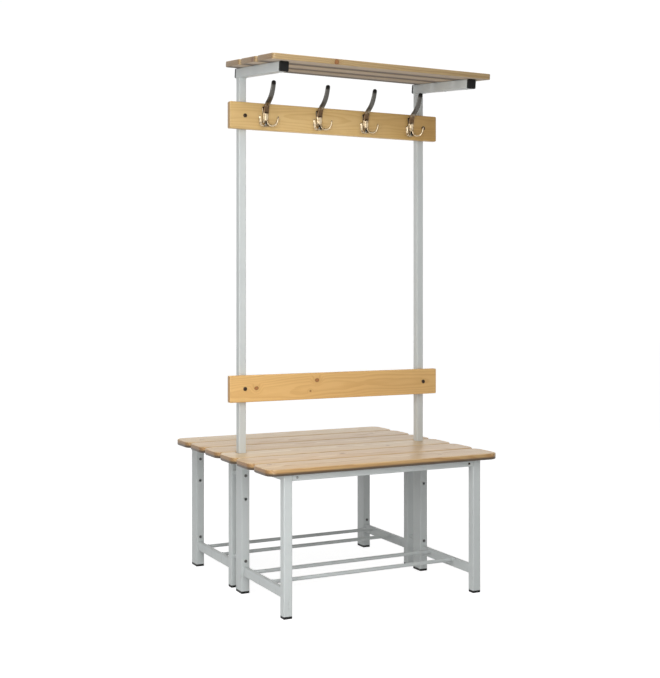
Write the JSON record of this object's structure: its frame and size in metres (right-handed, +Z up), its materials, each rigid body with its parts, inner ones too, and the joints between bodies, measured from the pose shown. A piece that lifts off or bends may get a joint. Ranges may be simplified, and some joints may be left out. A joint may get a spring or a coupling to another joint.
{
  "type": "changing room bench",
  "caption": "Changing room bench with slatted pine seats in a grey tube frame, shoe rack, backrest, coat hook rail and slatted hat shelf on uprights.",
  "frame": {"origin": "on the floor under the middle of the outline", "axes": "+Z up, X along the seats, the front with the hooks towards -Y"},
  "size_m": [0.8, 0.803, 1.6798],
  "materials": {
    "grey_paint": "satin",
    "seat_pine": "satin",
    "board_pine": "satin",
    "black_plastic": "matte",
    "hook_steel": "polished",
    "dark_steel": "dark oxide"
  },
  "bodies": {
    "root": {"backrest": "board_pine", "backrest_bolt_left": "dark_steel", "backrest_bolt_right": "dark_steel", "coat_hook_1": "hook_steel", "coat_hook_2": "hook_steel", "coat_hook_3": "hook_steel", "coat_hook_4": "hook_steel", "front_bench_foot_cap_front_left": "black_plastic", "front_bench_foot_cap_front_right": "black_plastic", "front_bench_foot_cap_rear_left": "black_plastic", "front_bench_foot_cap_rear_right": "black_plastic", "front_bench_front_leg_left": "grey_paint", "front_bench_front_leg_right": "grey_paint", "front_bench_front_rack_rod": "grey_paint", "front_bench_front_rail": "grey_paint", "front_bench_rack_rail_left": "grey_paint", "front_bench_rack_rail_right": "grey_paint", "front_bench_rear_leg_left": "grey_paint", "front_bench_rear_leg_right": "grey_paint", "front_bench_rear_rack_rod": "grey_paint", "front_bench_rear_rail": "grey_paint", "front_bench_seat_rail_left": "grey_paint", "front_bench_seat_rail_right": "grey_paint", "front_bench_seat_slat_1": "seat_pine", "front_bench_seat_slat_2": "seat_pine", "front_bench_seat_slat_3": "seat_pine", "hook_rail": "board_pine", "hook_rail_bolt_left": "dark_steel", "hook_rail_bolt_right": "dark_steel", "rear_bench_foot_cap_front_left": "black_plastic", "rear_bench_foot_cap_front_right": "black_plastic", "rear_bench_foot_cap_rear_left": "black_plastic", "rear_bench_foot_cap_rear_right": "black_plastic", "rear_bench_front_leg_left": "grey_paint", "rear_bench_front_leg_right": "grey_paint", "rear_bench_front_rack_rod": "grey_paint", "rear_bench_front_rail": "grey_paint", "rear_bench_rack_rail_left": "grey_paint", "rear_bench_rack_rail_right": "grey_paint", "rear_bench_rear_leg_left": "grey_paint", "rear_bench_rear_leg_right": "grey_paint", "rear_bench_rear_rack_rod": "grey_paint", "rear_bench_rear_rail": "grey_paint", "rear_bench_seat_rail_left": "grey_paint", "rear_bench_seat_rail_right": "grey_paint", "rear_bench_seat_slat_1": "seat_pine", "rear_bench_seat_slat_2": "seat_pine", "rear_bench_seat_slat_3": "seat_pine", "shelf_arm_cap_front_left": "black_plastic", "shelf_arm_cap_front_right": "black_plastic", "shelf_arm_cap_rear_left": "black_plastic", "shelf_arm_cap_rear_right": "black_plastic", "shelf_arm_left": "grey_paint", "shelf_arm_right": "grey_paint", "shelf_slat_1": "board_pine", "shelf_slat_2": "board_pine", "shelf_slat_3": "board_pine", "upright_left": "grey_paint", "upright_right": "grey_paint"}
  },
  "joints": []
}
